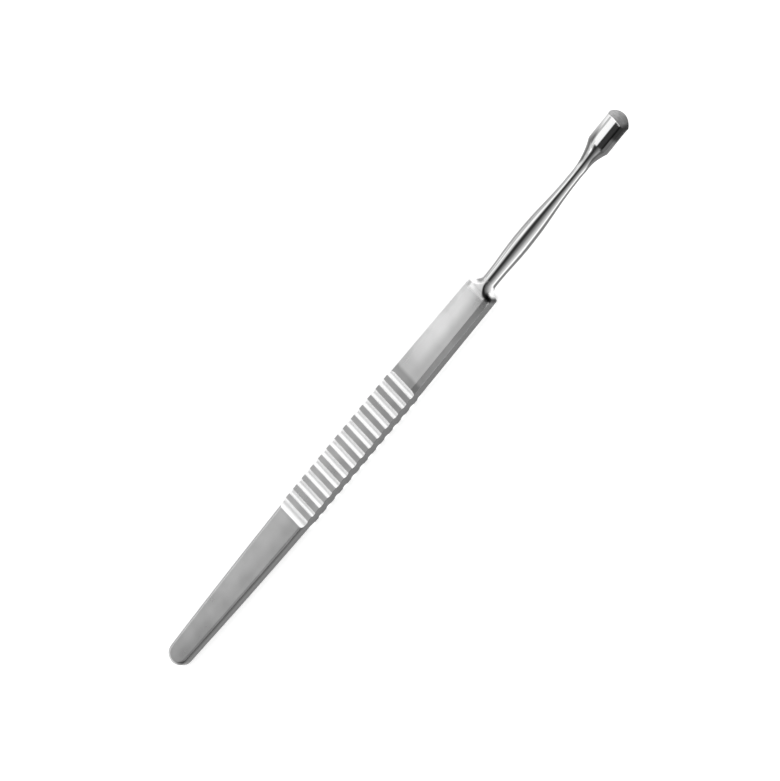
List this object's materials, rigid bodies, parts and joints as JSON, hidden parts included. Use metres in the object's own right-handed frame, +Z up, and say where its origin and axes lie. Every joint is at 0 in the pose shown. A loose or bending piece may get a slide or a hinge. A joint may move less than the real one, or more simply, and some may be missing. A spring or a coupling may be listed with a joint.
{
  "type": "dermal curette",
  "caption": "Hand curette in steel: a flat handle with a cross-ribbed grip, and a slim shaft that ends in a half-round scoop with a sharp lip.",
  "frame": {"origin": "on the surface it lies on, below the middle of its overall length", "axes": "+X from the butt end of the handle to the cutting lip, +Z up, out of the handle's upper face"},
  "size_m": [0.14, 0.0068, 0.0056],
  "materials": {
    "steel": "satin on the handle and polished on the shaft and the scoop"
  },
  "bodies": {
    "root": {"curette": "steel"}
  },
  "joints": []
}
